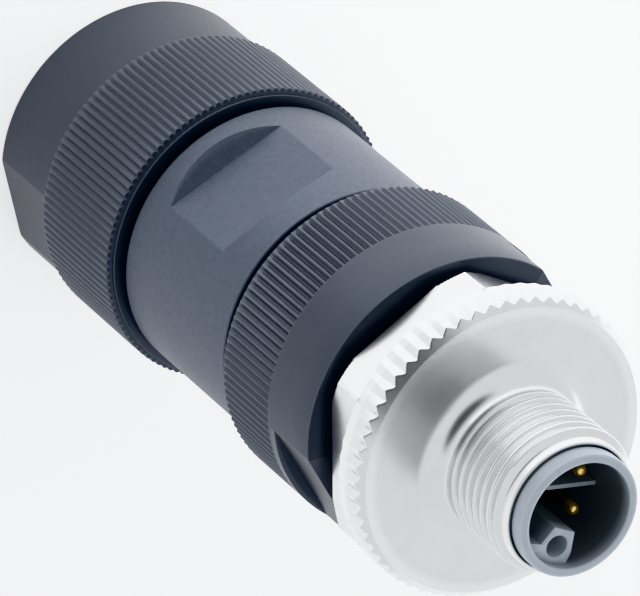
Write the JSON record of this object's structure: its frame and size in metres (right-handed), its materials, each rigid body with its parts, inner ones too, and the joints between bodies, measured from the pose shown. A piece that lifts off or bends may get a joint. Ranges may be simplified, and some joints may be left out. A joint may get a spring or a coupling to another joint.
{
  "type": "M12 connector",
  "caption": "Straight M12 cable plug with knurled gland nut, grey housing, knurled union ring, nickel coupling screw with toothed flange and contact pins inside a grey shroud.",
  "frame": {"origin": "centre of the gland nut's rear face, on the connector's axis", "axes": "+Z along the axis towards the plug end; +X and -Y as in the picture: the picture looks at the -Y side from above"},
  "size_m": [0.0248, 0.0248, 0.0677],
  "materials": {
    "dark_plastic": "satin",
    "grey_plastic": "fine grain",
    "pale_plastic": "satin",
    "black_rubber": "matte",
    "nickel": "satin nickel plate",
    "spring_steel": "satin",
    "gold": "gold plate"
  },
  "bodies": {
    "housing_body": {"housing": "grey_plastic", "gland_seal": "black_rubber", "front_seal": "black_rubber", "cable_seal": "black_rubber"},
    "clamp_body": {"clamp_cage": "grey_plastic"},
    "nut_body": {"gland_nut": "dark_plastic"},
    "carrier_body": {"terminal_block": "dark_plastic", "contact_insert": "pale_plastic", "contact_pin_1": "gold", "contact_pin_2": "gold", "contact_pin_3": "gold", "contact_pin_4": "gold", "pe_socket": "gold"},
    "ring_body": {"union_ring": "dark_plastic"},
    "screw_body": {"coupling_screw": "nickel", "retaining_ring": "spring_steel"},
    "terminal_body_1": {"terminal_screw_1": "spring_steel", "wire_guard_1": "spring_steel"},
    "terminal_body_2": {"terminal_screw_2": "spring_steel", "wire_guard_2": "spring_steel"},
    "terminal_body_3": {"terminal_screw_3": "spring_steel", "wire_guard_3": "spring_steel"},
    "terminal_body_4": {"terminal_screw_4": "spring_steel", "wire_guard_4": "spring_steel"},
    "terminal_body_5": {"terminal_screw_5": "spring_steel", "wire_guard_5": "spring_steel"}
  },
  "joints": [
    {"name": "clamp_slide", "type": "slide", "parent": "housing_body", "child": "clamp_body", "axis": [0, 0, -1], "range_m": [0, 0.0045]},
    {"name": "gland_nut_turn", "type": "hinge", "parent": "clamp_body", "child": "nut_body", "pos_m": [0, 0, 0.009], "axis": [0, 0, -1], "range_deg": [0, 1080]},
    {"name": "housing_slide", "type": "slide", "parent": "carrier_body", "child": "housing_body", "axis": [0, 0, -1], "range_m": [0, 0.0045]},
    {"name": "union_ring_turn", "type": "hinge", "parent": "carrier_body", "child": "ring_body", "pos_m": [0, 0, 0.042], "axis": [0, 0, 1], "range_deg": [0, 1080]},
    {"name": "coupling_screw_turn", "type": "hinge", "parent": "carrier_body", "child": "screw_body", "pos_m": [0, 0, 0.055], "axis": [0, 0, 1], "continuous": true},
    {"name": "terminal_slide_1", "type": "slide", "parent": "carrier_body", "child": "terminal_body_1", "axis": [0.0349, -0.9994, 0], "range_m": [0, 0.0008]},
    {"name": "terminal_slide_2", "type": "slide", "parent": "carrier_body", "child": "terminal_body_2", "axis": [0.9613, -0.2756, 0], "range_m": [0, 0.0008]},
    {"name": "terminal_slide_3", "type": "slide", "parent": "carrier_body", "child": "terminal_body_3", "axis": [0.5592, 0.829, 0], "range_m": [0, 0.0008]},
    {"name": "terminal_slide_4", "type": "slide", "parent": "carrier_body", "child": "terminal_body_4", "axis": [-0.6157, 0.788, 0], "range_m": [0, 0.0008]},
    {"name": "terminal_slide_5", "type": "slide", "parent": "carrier_body", "child": "terminal_body_5", "axis": [-0.9397, -0.342, 0], "range_m": [0, 0.0008]}
  ],
  "couplings": [
    {"joint": "clamp_slide", "follows": "gland_nut_turn", "m_per_rad": 0.00023873},
    {"joint": "housing_slide", "follows": "union_ring_turn", "m_per_rad": 0.00023873}
  ]
}
